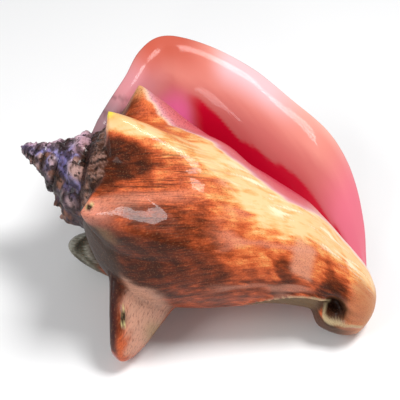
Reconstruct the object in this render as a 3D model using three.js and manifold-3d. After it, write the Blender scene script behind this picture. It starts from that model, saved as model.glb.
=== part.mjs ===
// A queen conch shell, lying on its back with the aperture up.
// Millimetres, +Z up, the origin under the middle of the shell on the surface it lies on.
//
// The shell is first made in its own frame: the coiling axis runs from the apex (a = 0) to the
// canal (a = 212), and a growth angle in turns goes round it. Turn 0 is the inner lip, where the
// last whorl starts, and the outer lip stands near turn 0.95. Each growth stage is one section,
// a curve from the suture over the shoulder and down the cone to the canal.

import * as THREE from 'three';
import { mergeVertices } from 'three/addons/utils/BufferGeometryUtils.js';
import Module from 'manifold-3d';

const wasm = await Module();
wasm.setup();

// Pose: how the shell lies
const LIE_LEAN = THREE.MathUtils.degToRad(45);
const AXIS_TILT = THREE.MathUtils.degToRad(22.5);
const GROUND_TRIM = 1.5;

// Coiling: the shoulder of each whorl
const WHORL_GROWTH_A = 1.66;
const WHORL_GROWTH_R = 1.72;
const SHOULDER_START_A = 47;
const SHOULDER_START_R = 37;
const SUTURE_DROP = 0.3;
const RAMP_SAG = 0.03;
const SPIRE_TURNS = 5;
const CANAL_END = 212;

// The shoulder over the last whorl, as [turn, distance from the apex, radius]
const SHOULDER_KEYS = [
  [0, 47, 37],
  [0.15, 50, 40],
  [0.3, 58, 45],
  [0.4, 71, 48],
  [0.49, 81, 51],
  [0.6, 72, 54],
  [0.7, 75, 59],
  [0.9, 76, 64],
];

// Radii of the cone below the shoulder at fixed stations along the axis, as [turn, radii].
// Before turn 0 this is the pillar that the aperture winds round.
const STATIONS = [93, 120, 143, 165, 178, 186, 196, 204, 209];
const CONE_KEYS = [
  [-0.8, [26, 18, 13, 13, 15, 17, 16, 12, 7]],
  [-0.5, [27, 18, 12, 11, 13, 16, 15, 11, 6]],
  [-0.3, [28, 19, 13, 11, 13, 14, 13, 10, 6]],
  [-0.12, [37, 29, 24, 20, 18, 17, 15, 12, 8]],
  [0, [43.5, 37.5, 34, 29, 25.5, 24, 21, 16, 10]],
  [0.25, [48, 41, 34, 27, 23.5, 22.5, 20.5, 16, 10]],
  [0.45, [53, 43.5, 33.5, 23, 18, 22, 20.5, 17, 12]],
  [0.6, [55, 46, 35, 26, 20, 22, 20, 17, 12]],
  [0.75, [60, 51, 39, 28, 22, 21, 19.5, 17, 12]],
  [0.9, [63, 54, 41, 30, 24, 22, 20, 17, 12]],
];

// The canal bends away from the aperture
const CANAL_BEND_FROM = 150;
const CANAL_BEND = new THREE.Vector2(-10, -11);

// Spines on the shoulder: turn, lift along the axis, lift outwards, half-width round the whorl,
// reach up the ramp and down the cone, and how blunt the tip is
const SPINES = [
  { turn: 0.005, along: -2, out: 17, width: 15, up: 13, down: 42, blunt: 1.1 },
  { turn: 0.142, along: -9, out: 11, width: 19, up: 16, down: 46, blunt: 1.1 },
  { turn: 0.297, along: -8, out: 13, width: 20, up: 18, down: 48, blunt: 1.15 },
  { turn: 0.485, along: 7, out: 33, width: 24, up: 14, down: 31, blunt: 1.4 },
  { turn: 0.632, along: -31, out: 7, width: 17, up: 20, down: 26, blunt: 1.3 },
  { turn: 0.695, along: -4, out: 10, width: 17, up: 18, down: 34, blunt: 1.2 },
];
const KNOBS_PER_TURN = 8;
const KNOB_DIP = 0.12;

// The outer lip: its edge as [distance along the axis, towards the lip, away from the viewer]
const LIP_EDGE = [
  [33, 26, -4],
  [34, 39, -11],
  [36, 58, -21],
  [37, 74, -28],
  [43, 86.5, -33],
  [56, 92, -38],
  [77, 93.5, -40],
  [103, 90.3, -42],
  [128, 82.8, -43],
  [151, 75.3, -42],
  [174, 63, -42],
  [191, 44, -37],
  [200, 26, -30],
  [206, 9, -20],
];
const LIP_START = 0.72;
const LIP_ROLL = THREE.MathUtils.degToRad(35);
const LIP_PULL_BASE = 0.36;
const LIP_PULL_EDGE = 0.22;
const WALL = 4.5;
const LIP_EDGE_WALL = 2.2;

// Mesh density
const STEPS_PER_TURN = 48;
const RAMP_STEPS = 4;
const NECK_STEPS = 2;
const CONE_STEPS = 15;
const CONE_SPREAD = 1.2;
const SEAM_TURN = 11 / 48;
const WALL_STEPS = 18;
const FLARE_STEPS = 13;
const SPINE_ROW_GAP = 0.013;

const SHELL_COLOUR = '#c9793f';

function catmull(p0, p1, p2, p3, t) {
  const a = 2 * p1;
  const b = p2 - p0;
  const c = 2 * p0 - 5 * p1 + 4 * p2 - p3;
  const d = -p0 + 3 * p1 - 3 * p2 + p3;
  return 0.5 * (a + b * t + c * t * t + d * t * t * t);
}

// A cubic through uneven keys, in Hermite form with finite-difference slopes
function keyed(keys, turn, pick) {
  const last = keys.length - 1;
  if (turn <= keys[0][0]) return pick(keys[0]);
  if (turn >= keys[last][0]) return pick(keys[last]);
  let i = 0;
  while (turn > keys[i + 1][0]) i += 1;
  const slope = (j) => {
    const lo = Math.max(0, j - 1);
    const hi = Math.min(last, j + 1);
    return (pick(keys[hi]) - pick(keys[lo])) / (keys[hi][0] - keys[lo][0]);
  };
  const span = keys[i + 1][0] - keys[i][0];
  const t = (turn - keys[i][0]) / span;
  const t2 = t * t;
  const t3 = t2 * t;
  return (
    (2 * t3 - 3 * t2 + 1) * pick(keys[i]) +
    (t3 - 2 * t2 + t) * span * slope(i) +
    (3 * t2 - 2 * t3) * pick(keys[i + 1]) +
    (t3 - t2) * span * slope(i + 1)
  );
}

const smooth = (x) => {
  const t = THREE.MathUtils.clamp(x, 0, 1);
  return t * t * (3 - 2 * t);
};

// The spire before turn 0 is a true spiral, so its keys join the last whorl's
const SPIRE_KEYS = [];
for (let turn = -SPIRE_TURNS - 2; turn < 0; turn += 0.25) {
  SPIRE_KEYS.push([
    turn,
    SHOULDER_START_A * WHORL_GROWTH_A ** turn,
    SHOULDER_START_R * WHORL_GROWTH_R ** turn,
  ]);
}
const ALL_SHOULDERS = [...SPIRE_KEYS, ...SHOULDER_KEYS];

const shoulder = (turn) => ({
  a: keyed(ALL_SHOULDERS, turn, (key) => key[1]),
  r: keyed(ALL_SHOULDERS, turn, (key) => key[2]),
});

// Where a whorl joins the one before it
function suture(turn) {
  const before = shoulder(turn - 1);
  const here = shoulder(turn);
  return { a: before.a + SUTURE_DROP * (here.a - before.a), r: before.r };
}

// Points along a line, at shares of its length that grow by the given power, without its first
function resampled(line, count, spread) {
  const along = lengths(line);
  const total = along[along.length - 1];
  const points = [];
  let k = 0;
  for (let j = 1; j <= count; j += 1) {
    const want = total * (j / count) ** spread;
    while (k + 2 < line.length && along[k + 1] < want) k += 1;
    const t = Math.min(1, (want - along[k]) / (along[k + 1] - along[k]));
    points.push(line[k].map((value, c) => THREE.MathUtils.lerp(value, line[k + 1][c], t)));
  }
  return points;
}

function lengths(line) {
  const along = [0];
  for (let j = 1; j < line.length; j += 1) {
    along.push(along[j - 1] + Math.hypot(...line[j].map((value, c) => value - line[j - 1][c])));
  }
  return along;
}

// A section as a list of points from the suture, with the distance of each past the shoulder
function section(turn, full) {
  const top = suture(turn);
  const edge = shoulder(turn);
  const points = [];
  for (let j = 0; j <= RAMP_STEPS; j += 1) {
    const t = j / RAMP_STEPS;
    const sag = RAMP_SAG * Math.sin(Math.PI * t);
    points.push([
      THREE.MathUtils.lerp(top.a, edge.a, t) + sag * (edge.r - top.r),
      THREE.MathUtils.lerp(top.r, edge.r, t) - sag * (edge.a - top.a),
    ]);
  }
  const next = suture(turn + 1);
  if (turn < 0) {
    for (let j = 1; j <= NECK_STEPS; j += 1) {
      const t = j / NECK_STEPS;
      points.push([
        THREE.MathUtils.lerp(edge.a, next.a, t),
        THREE.MathUtils.lerp(edge.r, next.r, t) * (1 + 0.02 * Math.sin(Math.PI * t)),
      ]);
    }
  }
  if (!full) return points;
  const from = turn < 0 ? next : edge;
  const below = STATIONS.map((a, k) => [a, keyed(CONE_KEYS, turn, (key) => key[1][k])]);
  const knots = [[from.a, from.r], ...below, [CANAL_END, 0]];
  const start = turn < 0 ? edge : top;
  const first = [2 * from.a - knots[1][0], start.r];
  const fine = [];
  for (let k = 0; k + 1 < knots.length; k += 1) {
    const p0 = k > 0 ? knots[k - 1] : first;
    const p3 = knots[Math.min(knots.length - 1, k + 2)];
    for (let m = 0; m < 12; m += 1) {
      fine.push([0, 1].map((c) => catmull(p0[c], knots[k][c], knots[k + 1][c], p3[c], m / 12)));
    }
  }
  fine.push(knots[knots.length - 1]);
  points.push(...resampled(fine, CONE_STEPS + (turn < 0 ? 0 : NECK_STEPS), CONE_SPREAD));
  points[points.length - 1][1] = 0;
  return points;
}

// Signed distance of each point from the shoulder, along the section
function pastShoulder(points) {
  const along = lengths(points);
  return along.map((s) => s - along[RAMP_STEPS]);
}

// How far one bump lifts a point of the surface, from 0 to 1
function bump(round, past, width, up, down, blunt = 1) {
  const reach = past < 0 ? up : down;
  return smooth(blunt * (1 - Math.hypot(round / width, past / reach)));
}

function lifted(turn, point, past) {
  let [a, r] = point;
  const here = shoulder(turn);
  for (const spine of SPINES) {
    const round = (turn - spine.turn) * 2 * Math.PI * here.r;
    const share = bump(round, past, spine.width, spine.up, spine.down, spine.blunt);
    a += spine.along * share;
    r += spine.out * share;
  }
  if (turn < -0.06) {
    const nearest = Math.round(turn * KNOBS_PER_TURN) / KNOBS_PER_TURN;
    const round = (turn - nearest) * 2 * Math.PI * here.r;
    const size = here.r * 0.42;
    const dip = 1 - bump(round, past, size, size, size, 1.3);
    r -= dip * KNOB_DIP * here.r * smooth(1 - Math.abs(past) / (here.r * 0.55));
  }
  return [a, r];
}

// From distance along the axis, radius and turn to a point in the shell's own frame
function around(turn, [a, r]) {
  const angle = turn * 2 * Math.PI;
  return new THREE.Vector3(a, r * Math.cos(angle), r * Math.sin(angle));
}

function bend(point) {
  const share = smooth((point.x - CANAL_BEND_FROM) / (CANAL_END - CANAL_BEND_FROM));
  return new THREE.Vector3(point.x, point.y + share * CANAL_BEND.x, point.z + share * CANAL_BEND.y);
}

function row(turn, full, plain = false) {
  const points = section(turn, full);
  const past = pastShoulder(points);
  return points.map((point, j) => around(turn, plain ? point : lifted(turn, point, past[j])));
}

// Triangles of a grid of rows, written into one list of corners
function skin(corners, rows, flip = false) {
  for (let i = 0; i + 1 < rows.length; i += 1) {
    for (let j = 0; j + 1 < rows[i].length; j += 1) {
      const [a, b, c, d] = [rows[i][j], rows[i][j + 1], rows[i + 1][j + 1], rows[i + 1][j]];
      corners.push(...(flip ? [a, b, c, a, c, d] : [a, c, b, a, d, c]));
    }
  }
}

// A strip of triangles between two lines that share both their ends
function between(corners, one, two) {
  let i = 0;
  let j = 0;
  while (i + 1 < one.length || j + 1 < two.length) {
    const level = (i + 1) / one.length <= (j + 1) / two.length;
    if (j + 1 >= two.length || (i + 1 < one.length && level)) {
      corners.push(one[i], two[j], one[i + 1]);
      i += 1;
    } else {
      corners.push(one[i], two[j], two[j + 1]);
      j += 1;
    }
  }
}

function solid(corners) {
  const raw = new THREE.BufferGeometry().setFromPoints(corners.map(bend));
  const merged = mergeVertices(raw, 1e-3);
  const index = merged.index.array;
  const kept = [];
  for (let i = 0; i < index.length; i += 3) {
    const [a, b, c] = [index[i], index[i + 1], index[i + 2]];
    if (a !== b && b !== c && c !== a) kept.push(a, b, c);
  }
  return new wasm.Manifold(
    new wasm.Mesh({
      numProp: 3,
      vertProperties: new Float32Array(merged.attributes.position.array),
      triVerts: new Uint32Array(kept),
    }),
  );
}

// The spire and the first part of the last whorl, filled, ending in a flat face at SEAM_TURN
function coreSolid() {
  const corners = [];
  const count = SPIRE_TURNS * STEPS_PER_TURN;
  const turnAt = (n) => SEAM_TURN + (n - count) / STEPS_PER_TURN;
  const visible = RAMP_STEPS + NECK_STEPS;
  const rows = [];
  for (let n = 0; n <= count; n += 1) rows.push(row(turnAt(n), n >= count - STEPS_PER_TURN));
  const shared = rows.map((points, n) => {
    const line = points.slice(0, visible + 1);
    if (n + STEPS_PER_TURN <= count) line[visible] = rows[n + STEPS_PER_TURN][0];
    return line;
  });
  skin(corners, shared);
  const lastTurn = rows.slice(count - STEPS_PER_TURN);
  const below = lastTurn.map((points, i) => {
    const line = points.slice(visible);
    line[0] = shared[count - STEPS_PER_TURN + i][visible];
    return line;
  });
  skin(corners, below);
  const outer = [...shared[count], ...below[STEPS_PER_TURN].slice(1)];
  between(corners, outer, below[0]);
  const start = [...shared[0]];
  for (let i = STEPS_PER_TURN - 1; i > 0; i -= 1) start.push(shared[i][0]);
  const apex = new THREE.Vector3(0, 0, 0);
  for (let i = 0; i < start.length; i += 1) corners.push(apex, start[i], start[(i + 1) % start.length]);
  return solid(corners);
}

// Turns of the wall's rows, closer together over the tall spines
function wallTurns() {
  const turns = [];
  for (let i = 0; i <= WALL_STEPS; i += 1) {
    turns.push(THREE.MathUtils.lerp(SEAM_TURN, LIP_START, i / WALL_STEPS));
  }
  for (const spine of SPINES) {
    for (let k = -4; k <= 4; k += 1) turns.push(spine.turn + k * SPINE_ROW_GAP);
  }
  return turns
    .filter((turn) => turn >= SEAM_TURN && turn <= LIP_START)
    .sort((one, two) => one - two)
    .filter((turn, i, all) => i === 0 || turn - all[i - 1] > SPINE_ROW_GAP * 0.4);
}

// The lip's edge, one point for each column of the base row
function edgePoints(base) {
  const line = base.map((point) => [point.x, point.y, point.z]);
  const along = lengths(line);
  const total = along[along.length - 1];
  const dense = [];
  for (let k = 0; k + 1 < LIP_EDGE.length; k += 1) {
    const p0 = LIP_EDGE[Math.max(0, k - 1)];
    const p3 = LIP_EDGE[Math.min(LIP_EDGE.length - 1, k + 2)];
    for (let m = 0; m < 10; m += 1) {
      dense.push([0, 1, 2].map((c) => catmull(p0[c], LIP_EDGE[k][c], LIP_EDGE[k + 1][c], p3[c], m / 10)));
    }
  }
  dense.push(LIP_EDGE[LIP_EDGE.length - 1]);
  const edgeAlong = lengths(dense);
  return along.map((s) => {
    const want = (s / total) * edgeAlong[edgeAlong.length - 1];
    let k = 0;
    while (k + 2 < dense.length && edgeAlong[k + 1] < want) k += 1;
    const t = Math.min(1, (want - edgeAlong[k]) / (edgeAlong[k + 1] - edgeAlong[k]));
    return new THREE.Vector3(...dense[k]).lerp(new THREE.Vector3(...dense[k + 1]), t);
  });
}

// Rows of the lip from the base row to its edge: each column is a Bezier curve
function flareRows(base, before) {
  const edge = edgePoints(base);
  const rows = [];
  for (let n = 1; n <= FLARE_STEPS; n += 1) {
    const t = n / FLARE_STEPS;
    rows.push(
      base.map((point, j) => {
        const reach = edge[j].distanceTo(point);
        const start = point.clone().sub(before[j]).normalize();
        const next = edge[Math.min(edge.length - 1, j + 1)];
        const line = next.clone().sub(edge[Math.max(0, j - 1)]).normalize();
        const away = new THREE.Vector3(0, 0, -1);
        const out = new THREE.Vector3().crossVectors(line, away).normalize();
        if (out.y < 0) out.negate();
        const roll = out.multiplyScalar(Math.cos(LIP_ROLL)).addScaledVector(away, Math.sin(LIP_ROLL));
        return new THREE.CubicBezierCurve3(
          point,
          point.clone().addScaledVector(start, reach * LIP_PULL_BASE),
          edge[j].clone().addScaledVector(roll, -reach * LIP_PULL_EDGE),
          edge[j],
        ).getPoint(t);
      }),
    );
  }
  return rows;
}

// Unit normals of a grid, pointing out of the shell
function gridNormals(rows) {
  return rows.map((line, i) =>
    line.map((point, j) => {
      const round = rows[Math.min(rows.length - 1, i + 1)][j].clone().sub(rows[Math.max(0, i - 1)][j]);
      const down = line[Math.min(line.length - 1, j + 1)].clone().sub(line[Math.max(0, j - 1)]);
      return new THREE.Vector3().crossVectors(round, down).normalize();
    }),
  );
}

// The wall of the last whorl and the lip: a closed sheet whose first row and whose two side
// edges lie inside the core
function wallSolid() {
  const turns = wallTurns();
  const plain = turns.map((turn) => row(turn, true, true).slice(0, -1));
  const shaped = turns.map((turn) => row(turn, true).slice(0, -1));
  const base = plain[plain.length - 1];
  const flare = flareRows(base, row(LIP_START - 0.01, true, true));
  const last = SPINES[SPINES.length - 1];
  const past = pastShoulder(section(LIP_START, true));
  const push = around(LIP_START, [last.along, last.out]);
  const fromSpine = (LIP_START - last.turn) * 2 * Math.PI * shoulder(LIP_START).r;
  const flareShaped = flare.map((line) =>
    line.map((point, j) => {
      const round = fromSpine + point.distanceTo(base[j]);
      const share = bump(round, past[j], last.width, last.up, last.down, last.blunt);
      return point.clone().addScaledVector(push, share);
    }),
  );
  const outerPlain = [...plain, ...flare];
  const normals = gridNormals(outerPlain);
  const outer = [...shaped, ...flareShaped];
  const inner = outerPlain.map((line, i) => {
    const share = smooth((i - plain.length) / (outerPlain.length - 1 - plain.length));
    const thick = THREE.MathUtils.lerp(WALL, LIP_EDGE_WALL, share);
    return line.map((point, j) => point.clone().addScaledVector(normals[i][j], -thick));
  });
  const sunk = ({ x, y, z }, toSuture) => new THREE.Vector3(x - (toSuture ? 0 : 5), y * 0.55, z * 0.55);
  const closed = (line) => [sunk(line[0], true), ...line, sunk(line[line.length - 1], false)];
  const hidden = row(SEAM_TURN - 0.012, true, true).slice(0, -1);
  const inward = gridNormals([hidden, plain[0]])[0];
  const buried = (depth) => hidden.map((point, j) => point.clone().addScaledVector(inward[j], -depth * WALL));
  const outerRows = [buried(0.35), ...outer].map(closed);
  const innerRows = [buried(0.65), ...inner].map(closed);
  const side = (rows, j) => rows.map((line) => line[j]);
  const tail = outerRows[0].length - 1;
  const corners = [];
  skin(corners, outerRows);
  skin(corners, innerRows, true);
  skin(corners, [outerRows[outerRows.length - 1], innerRows[innerRows.length - 1]]);
  skin(corners, [innerRows[0], outerRows[0]]);
  skin(corners, [side(outerRows, 0), side(innerRows, 0)]);
  skin(corners, [side(innerRows, tail), side(outerRows, tail)]);
  return solid(corners);
}

function toWorld() {
  const across = new THREE.Vector3(1, 0, 0);
  const above = new THREE.Vector3(0, Math.sin(LIE_LEAN), Math.cos(LIE_LEAN));
  const turned = (x, z) => across.clone().multiplyScalar(x).addScaledVector(above, z);
  const along = turned(Math.cos(AXIS_TILT), -Math.sin(AXIS_TILT));
  const lip = turned(Math.sin(AXIS_TILT), Math.cos(AXIS_TILT));
  return new THREE.Matrix4().makeBasis(along, lip, new THREE.Vector3().crossVectors(along, lip));
}

const whole = coreSolid().add(wallSolid());
const lying = whole.transform(toWorld().elements);

// The points that it lies on are worn flat, all in the plane of the surface under it
const box = lying.boundingBox();
const floor = box.min[2] + GROUND_TRIM;
const below = wasm.Manifold.cube([400, 400, 20], true).translate([100, 0, floor - 10]);
const worn = lying.subtract(below).simplify(0.04);
const size = worn.boundingBox();
const middle = [0, 1].map((c) => (size.min[c] + size.max[c]) / 2);
const mesh = worn.translate([-middle[0], -middle[1], -floor]).getMesh();
const geometry = new THREE.BufferGeometry();
const points = new Float32Array(mesh.vertProperties);
geometry.setAttribute('position', new THREE.BufferAttribute(points, 3));
geometry.setIndex(new THREE.BufferAttribute(new Uint32Array(mesh.triVerts), 1));

const glaze = new THREE.MeshStandardMaterial({ color: SHELL_COLOUR, roughness: 0.3 });
const node = new THREE.Mesh(geometry, glaze);
node.name = 'conch_shell';
const group = new THREE.Group();
group.add(node);
export default group;
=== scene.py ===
# A queen conch shell lying on its back, its pink mouth open upwards.
# The shell is worked out in its own frame, in millimetres: x runs along the coiling axis from the
# apex, y points to the inner lip, and z to the side of the viewer. Turns of growth go round x.

import math

import bpy
import numpy as np
from mathutils import Matrix, Vector, noise


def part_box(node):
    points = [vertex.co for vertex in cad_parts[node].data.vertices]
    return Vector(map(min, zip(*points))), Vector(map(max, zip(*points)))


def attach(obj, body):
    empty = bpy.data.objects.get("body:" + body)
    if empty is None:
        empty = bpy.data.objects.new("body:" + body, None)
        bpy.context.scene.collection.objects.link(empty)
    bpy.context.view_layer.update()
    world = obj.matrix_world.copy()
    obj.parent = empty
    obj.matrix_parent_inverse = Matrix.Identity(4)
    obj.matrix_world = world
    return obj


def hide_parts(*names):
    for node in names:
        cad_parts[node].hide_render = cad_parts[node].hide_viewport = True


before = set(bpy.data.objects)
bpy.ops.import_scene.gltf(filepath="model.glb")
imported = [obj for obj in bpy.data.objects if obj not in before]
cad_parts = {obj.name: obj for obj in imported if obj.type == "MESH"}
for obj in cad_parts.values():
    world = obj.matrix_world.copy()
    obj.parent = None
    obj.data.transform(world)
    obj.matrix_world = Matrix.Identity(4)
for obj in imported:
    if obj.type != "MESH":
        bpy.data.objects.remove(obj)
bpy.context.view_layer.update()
NODE = "conch_shell"

# Pose of the shell, and the camera of the photograph
LIE_LEAN = math.radians(45)
AXIS_TILT = math.radians(22.5)
APEX_PIXEL = (22, 147)
MIDDLE_PIXEL = 200
PIXELS_PER_MM = 1.85
CAMERA_DISTANCE = 0.510
LENS_MM = 85

# Coiling, as in the CAD model: growth of the spire by turn along the axis and outwards, its keys, the sag
# of its ramp, the turns where the whorl, its mouth and its lining start and end, and their fades
WHORL_GROWTH_A = 1.66
WHORL_GROWTH_R = 1.72
SHOULDER_START_A = 47
SHOULDER_START_R = 37
KEYS_FROM = -10.5
KEYS_APART = 0.25
SUTURE_DROP = 0.3
RAMP_SAG = 0.03
RAMP_BULGE = 0.09
BULGE_TURNS = 0.15
NECK_BULGE = 0.02
CANAL_END = 212
FIRST_TURN = -9
WHORL_SHOWS_FROM = -0.16
LIP_START = 0.72
LIP_RUN_UP = 0.01
MOUTH_BLEND = 0.1
LINING_TURNS = 0.03
LINING_MM = 4
SEAM_REACH = 0.3
SEAM_TURN = 11 / 48

# Shoulder of the last whorl: turn, distance along the axis and radius
SHOULDER_KEYS = [
    (0, 47, 37),
    (0.15, 50, 40),
    (0.3, 58, 45),
    (0.4, 71, 48),
    (0.49, 81, 51),
    (0.6, 72, 54),
    (0.7, 75, 59),
    (0.9, 76, 64),
]

# Below the shoulder: distances along the axis, and rows of a turn with its radius at each of them
STATIONS = [93, 120, 143, 165, 178, 186, 196, 204, 209]
CONE_KEYS = [
    (-0.8, 26, 18, 13, 13, 15, 17, 16, 12, 7),
    (-0.5, 27, 18, 12, 11, 13, 16, 15, 11, 6),
    (-0.3, 28, 19, 13, 11, 13, 14, 13, 10, 6),
    (-0.12, 37, 29, 24, 20, 18, 17, 15, 12, 8),
    (0, 43.5, 37.5, 34, 29, 25.5, 24, 21, 16, 10),
    (0.25, 48, 41, 34, 27, 23.5, 22.5, 20.5, 16, 10),
    (0.45, 53, 43.5, 33.5, 23, 18, 22, 20.5, 17, 12),
    (0.6, 55, 46, 35, 26, 20, 22, 20, 17, 12),
    (0.75, 60, 51, 39, 28, 22, 21, 19.5, 17, 12),
    (0.9, 63, 54, 41, 30, 24, 22, 20, 17, 12),
]
CANAL_BEND_FROM = 150
CANAL_BEND = (-10, -11)

# Spines: turn, lift along the axis, lift outwards, half-width, reach up and down, power of the dome
# and how pointed the tip is
SPINES = [
    (0.005, -2, 19, 14, 9, 48, 2, 0.9),
    (0.142, -9, 14, 17, 10, 56, 2, 0.95),
    (0.295, -8, 17, 18, 12, 58, 2, 1),
    (0.485, 9, 33, 20, 9, 31, 1.3, 0),
    (0.632, -31, 11, 19, 24, 30, 1.2, 0),
    (0.695, -4, 10, 17, 18, 34, 1.7, 0.2),
]
EARLIEST_SPINE = -0.5
CREST_SHARPNESS = 0.6
CREST_SLOPE = 1.3

# Knobs of the spire: the depth of the dips between them, their size and how far from the shoulder the
# dips reach, as shares of the radius, how long a knob is for its size, the power of its dome, and the
# turn where the knobs end
KNOBS_PER_TURN = 8
KNOB_DIP = 0.17
KNOB_SIZE = 0.42
KNOB_REACH = 0.55
KNOB_LENGTH = 1.1
KNOB_DOME = 1.2
KNOBS_END = -0.06

# The shoulder is rounded in many small passes, near it in millimetres
ROUNDING_PASSES = 32
ROUNDING_REACH = 9

# The worn tip of the spire is blunter than its spiral: how far it swells and reaches, and the distances
# from the apex over which the swelling starts and ends and the reach ends
TIP_SWELL = 2.3
TIP_REACH = 1.0
SWELL_START = 2.5
SWELL_END = 8
REACH_END = 3

# Broken scales on the spire: turn, distance past the shoulder, lift along the axis, lift outwards,
# half-width and reach
SCALES = [
    (-0.535, -9, -2, 5, 4.5, 5),
    (-0.47, -3, -3, 4, 4, 5),
    (-0.4, -6, -3, 4, 5, 4),
    (-0.9, -4, -1, 2.5, 4, 5),
    (-0.8, 2, -1, 3, 4, 5),
    (-1.42, -2, -1, 2, 3, 3),
]
EARLIEST_SCALE = -1.7

# The fold over the canal: its rim as (distance along the axis, turn), the drop under it and how much
# painted shade lies under it beside the pocket, and the pocket that the fold curls round
FOLD_RIM = [
    (118, 0.5),
    (142, 0.435),
    (162, 0.367),
    (170, 0.343),
    (177, 0.322),
    (181, 0.318),
    (183.5, 0.33),
    (183, 0.365),
    (185, 0.392),
    (190, 0.394),
    (195, 0.372),
    (200, 0.352),
    (206, 0.356),
]
FOLD_START = 132
FOLD_FADE = 25
FOLD_END = 181
FOLD_STOP = 3
FOLD_EDGE_TURNS = 0.018
FOLD_BACK = 0.64
FOLD_BACK_FADE = 0.12
FOLD_DROP = 1.2
FOLD_SHADE = 0.5
RIM_START = 125
RIM_FADE = 30
RIM_RISE = 1.4
RIM_WIDTH = 1.7
RIM_MM_PER_TURN = 140
NARROWEST = 8
POCKET = (188, 0.335)
POCKET_SIZE = (9, 10)
POCKET_EDGE = 1.15
POCKET_DEPTH = 11

# The lip: points of its edge in the shell's own frame, its roll, how far it pulls the surface out, its
# wall, the turns that its colours span, and what the ground trims from the whole shell
LIP_EDGE = [
    (33, 26, -4),
    (34, 39, -11),
    (36, 58, -21),
    (37, 74, -28),
    (43, 86.5, -33),
    (56, 92, -38),
    (77, 93.5, -40),
    (103, 90.3, -42),
    (128, 82.8, -43),
    (151, 75.3, -42),
    (174, 63, -42),
    (191, 44, -37),
    (200, 26, -30),
    (206, 9, -20),
]
LIP_ROLL = math.radians(35)
LIP_PULL_BASE = 0.36
LIP_PULL_EDGE = 0.22
WALL = 4.5
LIP_EDGE_WALL = 2.2
LIP_TURNS = 0.25
GROUND_TRIM = 1.5
SUNK_SHARE = 0.6

# Unevenness: the sizes of waves, lumps and standing grains in metres, and their depths in millimetres
WAVE_M = 0.016
LUMP_M = 0.0042
GRAIN_M = 0.0024
WAVE_DEPTH = 0.45
LINING_WAVE_DEPTH = 0.15
LUMP_DEPTH = 0.8
GRAIN_RISE = 0.9
GRAIN_GAP = 0.12
CRUST_DEPTH = 1.5
FINE_DEPTH = 0.06

# Pattern of the outer layer: a dark band as (distance past the shoulder, turn), its width in turns over
# the same distance, the share of that width and the turns ahead of it where the tone before the band
# fades, the tone at turns after it, and the colour of each tone
ROUND_MM = 300
BAND_CORE = [
    (0, 0.138),
    (20, 0.142),
    (35, 0.125),
    (45, 0.122),
    (60, 0.145),
    (80, 0.165),
    (95, 0.155),
    (108, 0.13),
    (120, 0.1),
    (140, 0.08),
]
BAND_WIDTH = [(0, 0.002), (20, 0.002), (40, 0.006), (60, 0.012), (80, 0.018), (110, 0.03), (140, 0.045)]
BAND_LEAD = 0.6
BAND_FADE = 0.025
BAND_FALL = [
    (0, 0.02),
    (0.015, 0.17),
    (0.04, 0.28),
    (0.075, 0.38),
    (0.115, 0.55),
    (0.17, 0.72),
    (0.25, 0.66),
    (0.33, 0.55),
    (0.5, 0.48),
]
BAND_TINTS = [
    (0.0, "#f6ca94"),
    (0.1, "#f3bb7c"),
    (0.2, "#ef9f5c"),
    (0.3, "#e47c44"),
    (0.42, "#cd5d30"),
    (0.54, "#9f4420"),
    (0.66, "#742f12"),
    (0.82, "#471a05"),
    (1.0, "#2a0f03"),
]

# The glaze by the mouth: its edge as (distance past the shoulder, turn), its colours by turns inside that
# edge, and the colour that it takes on down the shell. Then the colours of the lining by turn, with the
# crimson deep in the mouth as painted shade
GLAZE_EDGE = [
    (0, 0.008),
    (10, 0.02),
    (20, 0.037),
    (30, 0.053),
    (40, 0.072),
    (50, 0.085),
    (60, 0.098),
    (80, 0.102),
    (95, 0.115),
    (105, 0.1),
    (122, 0.06),
]
GLAZE_TINTS = [
    (0.0, "#f3cdb0"),
    (0.007, "#dd979f"),
    (0.015, "#d57478"),
    (0.035, "#d56067"),
    (0.06, "#c93550"),
]
LOW_GLAZE = "#f3cfbe"
LOW_GLAZE_PAST = (104, 128)
LIP_TINTS = [
    (0.0, "#e8928c"),
    # Crimson deep in the mouth is painted shade
    (0.3, "#8e0425"),
    (0.8, "#b80026"),
    (0.862, "#cc6260"),
    (0.885, "#cf6e68"),
    (0.91, "#e2897c"),
    (0.94, "#e48c7e"),
    (0.97, "#eaa89a"),
]

# How dark the outer layer is in places, added step by step: an amount, and limits that multiply it.
# A limit is a measure of the surface, the value where it starts and the value where it is full
TONE_BEFORE_BAND = [(0, 0.5), (6, 0.36), (14, 0.27), (34, 0.2), (44, 0.02)]
TONE_STEPS = [
    (0.07, ("past", 45, 25)),
    (-0.14, ("past", 58, 76), ("tone", 0.3, 0.6)),
    (0.5, ("turn", 0.157, 0.178), ("off_stain", 0, -0.02), ("past", 30, 10)),
    (0.2, ("turn", 0.295, 0.315), ("turn", 0.41, 0.38), ("past", 38, 18)),
    (0.34, ("wobbly_past", 121, 129), ("wobbly_past", 149, 141), ("turn", 0.16, 0.25)),
    (0.272, ("wobbly_past", 92, 97), ("wobbly_past", 108, 102), ("turn", 0.22, 0.28)),
    (-0.2, ("past", 138, 144), ("turn", 0.15, 0.2)),
    (-0.16, ("horn", 0.3, 0.75), ("turn", 0.4, 0.44), ("turn", 0.56, 0.5), ("past", -4, 2)),
    (-0.2, ("horn", 0.3, 0.8), ("turn", 0.4, 0.3)),
]
DARKEST_TONE = 0.81
BLOT_TONE = 0.14

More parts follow.
